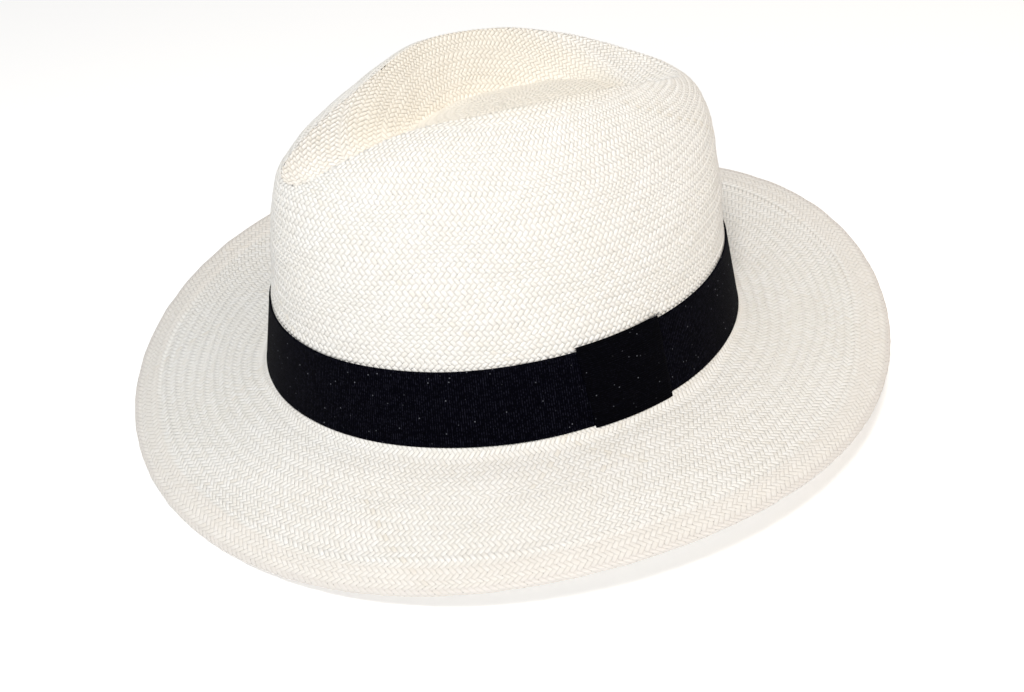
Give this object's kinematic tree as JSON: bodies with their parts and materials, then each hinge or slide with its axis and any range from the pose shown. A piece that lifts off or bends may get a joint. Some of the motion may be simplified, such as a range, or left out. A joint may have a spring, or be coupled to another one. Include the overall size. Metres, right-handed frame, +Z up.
{
  "type": "panama hat",
  "caption": "Woven straw panama hat with a centre-creased crown, a brim turned down at the front, a dark ribbon band with a flat keeper, and a sewn-in leather sweatband.",
  "frame": {"origin": "centre of the head opening, at the height where the brim breaks away from the crown", "axes": "+Z up out of the crown, -Y the front of the hat, +X the wearer's left"},
  "size_m": [0.3135, 0.3215, 0.144],
  "materials": {
    "straw": "bleached toquilla straw, fine herringbone weave",
    "straw_thread": "matt cotton thread",
    "band_ribbon": "ribbed grosgrain, matt",
    "black_thread": "matt thread",
    "sweat_leather": "soft tanned leather, satin",
    "reed_cover": "satin",
    "seam_tape": "woven tape",
    "bow_ribbon": "narrow ribbon",
    "tab": "satin weave, blank"
  },
  "bodies": {
    "root": {"straw_body": "straw", "hem_stitching": "straw_thread", "ribbon_band": "band_ribbon", "band_keeper": "band_ribbon", "band_tacks": "black_thread", "sweatband": "sweat_leather", "sweatband_reed": "reed_cover", "sweatband_stitching": "straw_thread", "sweatband_seam_tape": "seam_tape", "sweatband_bow": "bow_ribbon", "size_tab": "tab"}
  },
  "joints": []
}
